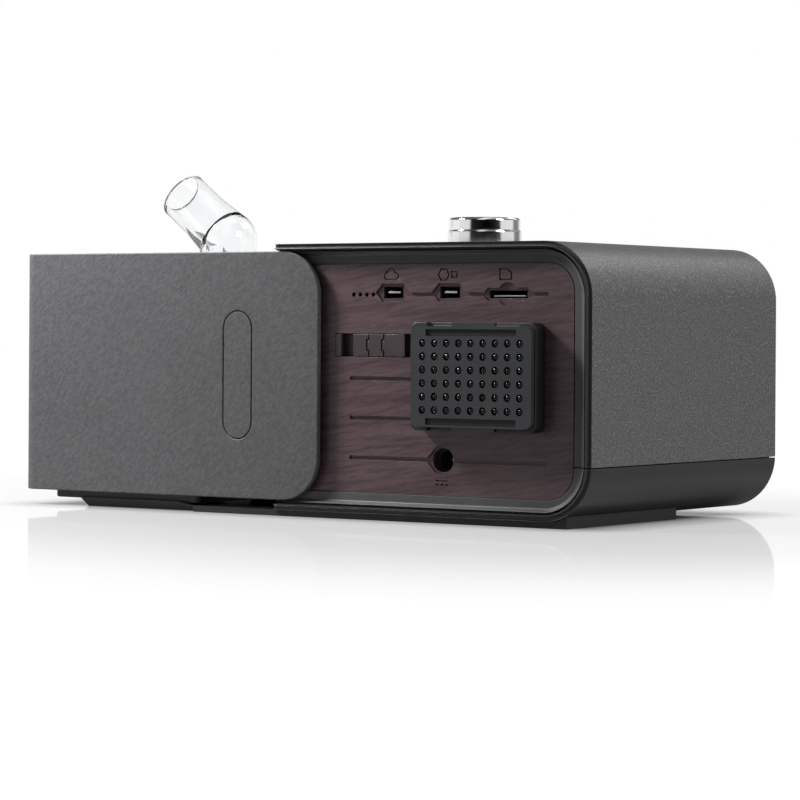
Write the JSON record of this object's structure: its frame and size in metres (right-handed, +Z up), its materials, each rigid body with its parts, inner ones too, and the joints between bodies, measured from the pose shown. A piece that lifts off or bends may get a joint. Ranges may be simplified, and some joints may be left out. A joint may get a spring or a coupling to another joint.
{
  "type": "cpap machine",
  "caption": "Bedside breathing machine with a sideways sliding humidifier, a clear turning outlet elbow, a top knob and a filtered rear panel.",
  "frame": {"origin": "centre of the bounding box, on the floor", "axes": "+X towards the humidifier, -Y towards the display at the front, +Z up"},
  "size_m": [0.291, 0.1554, 0.1461],
  "materials": {
    "shell_upper": "fine grained satin, dark grey",
    "shell_lower": "smooth satin, near black",
    "plate_grain": "leather-like grain, grey",
    "dark_plastic": "moulded, black",
    "wood_look": "dark reddish brown print with a wood-like grain",
    "rail": "satin, dark brown",
    "filter_black": "semi-gloss, black",
    "filter_pad": "white fibre pad",
    "chrome_bright": "polished",
    "satin_metal": "satin",
    "steel": "plain",
    "contact_brass": "bright",
    "board_green": "solder mask",
    "glass_black": "polished, black",
    "screen": "switched off",
    "motor_metal": "turned",
    "inner_plastic": "moulded, dark grey",
    "white_plastic": "moulded, off white",
    "sensor_blue": "moulded, blue",
    "seal_red": "silicone",
    "seal_white": "silicone, white",
    "rubber_black": "soft, black",
    "clear_plastic": "clear polycarbonate",
    "tank_clear": "clear, faint blue",
    "heater_metal": "plain"
  },
  "bodies": {
    "main_unit": {"upper_shell": "shell_upper", "lower_shell": "shell_lower", "dock_wall": "dark_plastic", "rear_frame": "dark_plastic", "rear_panel": "wood_look", "clip_insert": "rail", "filter_housing": "filter_black", "air_filter": "filter_pad", "dc_jack": "dark_plastic", "dc_pin": "contact_brass", "link_ports": "steel", "card_reader": "steel", "port_board": "board_green", "front_fascia": "dark_plastic", "display_window": "glass_black", "display_panel": "screen", "main_board": "board_green", "encoder_body": "inner_plastic", "chassis_tray": "inner_plastic", "intake_muffler": "inner_plastic", "blower_mounts": "rubber_black", "blower_housing": "inner_plastic", "blower_cover": "inner_plastic", "blower_motor": "motor_metal", "outlet_duct": "inner_plastic", "air_socket": "dark_plastic", "outlet_seal": "seal_red", "flow_sensor": "sensor_blue", "dock_socket": "dark_plastic", "dock_contacts": "contact_brass", "main_feet": "rubber_black", "case_screws": "steel"},
    "filter_cover": {"filter_cover": "filter_black"},
    "start_button": {"start_button": "satin_metal"},
    "encoder_plunger": {"encoder_plunger": "steel"},
    "knob": {"encoder_shaft": "steel", "knob_skirt": "satin_metal", "knob_cap": "chrome_bright"},
    "impeller": {"impeller": "white_plastic"},
    "humidifier": {"humidifier_shell": "shell_upper", "humidifier_base": "dark_plastic", "humidifier_feet": "rubber_black", "slide_plate": "plate_grain", "button_spring": "steel", "dock_tongue": "inner_plastic", "air_spigot": "dark_plastic", "inlet_seal": "seal_red", "dock_plug": "dark_plastic", "humidifier_board": "board_green", "heater_plate": "heater_metal", "water_tank": "tank_clear", "tank_plate": "heater_metal", "hinge_pin": "steel"},
    "push_button": {"push_button": "plate_grain"},
    "lid_latch": {"lid_latch": "dark_plastic"},
    "tank_lid": {"tank_lid": "shell_upper", "lid_seal": "seal_white", "elbow_seal": "rubber_black"},
    "outlet_elbow": {"outlet_elbow": "clear_plastic"}
  },
  "joints": [
    {"name": "humidifier_slide", "type": "slide", "parent": "main_unit", "child": "humidifier", "axis": [1, 0, 0], "range_m": [-0.044, 0.03]},
    {"name": "push_button_press", "type": "slide", "parent": "humidifier", "child": "push_button", "axis": [0, -1, 0], "range_m": [0, 0.0009], "stiffness_N_per_m": 400, "springref_m": -0.0012},
    {"name": "lid_hinge", "type": "hinge", "parent": "humidifier", "child": "tank_lid", "pos_m": [0.0965, 0.06315, 0.1048], "axis": [-1, 0, 0], "range_deg": [0, 80]},
    {"name": "lid_latch_press", "type": "slide", "parent": "humidifier", "child": "lid_latch", "axis": [0, 1, 0], "range_m": [0, 0.0009], "stiffness_N_per_m": 500, "springref_m": -0.0012},
    {"name": "elbow_swivel", "type": "hinge", "parent": "tank_lid", "child": "outlet_elbow", "pos_m": [0.0928, -0.00565, 0.11], "axis": [0, 0, 1], "continuous": true},
    {"name": "knob_press", "type": "slide", "parent": "main_unit", "child": "encoder_plunger", "axis": [0, 0, -1], "range_m": [0, 0.0005], "stiffness_N_per_m": 2000, "springref_m": -0.0015},
    {"name": "knob_turn", "type": "hinge", "parent": "encoder_plunger", "child": "knob", "pos_m": [-0.0467, -0.00215, 0.11], "axis": [0, 0, 1], "continuous": true},
    {"name": "start_button_press", "type": "slide", "parent": "main_unit", "child": "start_button", "axis": [0, 1, 0], "range_m": [0, 0.0008], "stiffness_N_per_m": 500, "springref_m": -0.0012},
    {"name": "filter_cover_pull", "type": "slide", "parent": "main_unit", "child": "filter_cover", "axis": [0, 1, 0], "range_m": [0, 0.025]},
    {"name": "impeller_spin", "type": "hinge", "parent": "main_unit", "child": "impeller", "pos_m": [-0.0535, -0.01665, 0.075], "axis": [0, 0, 1], "continuous": true}
  ]
}
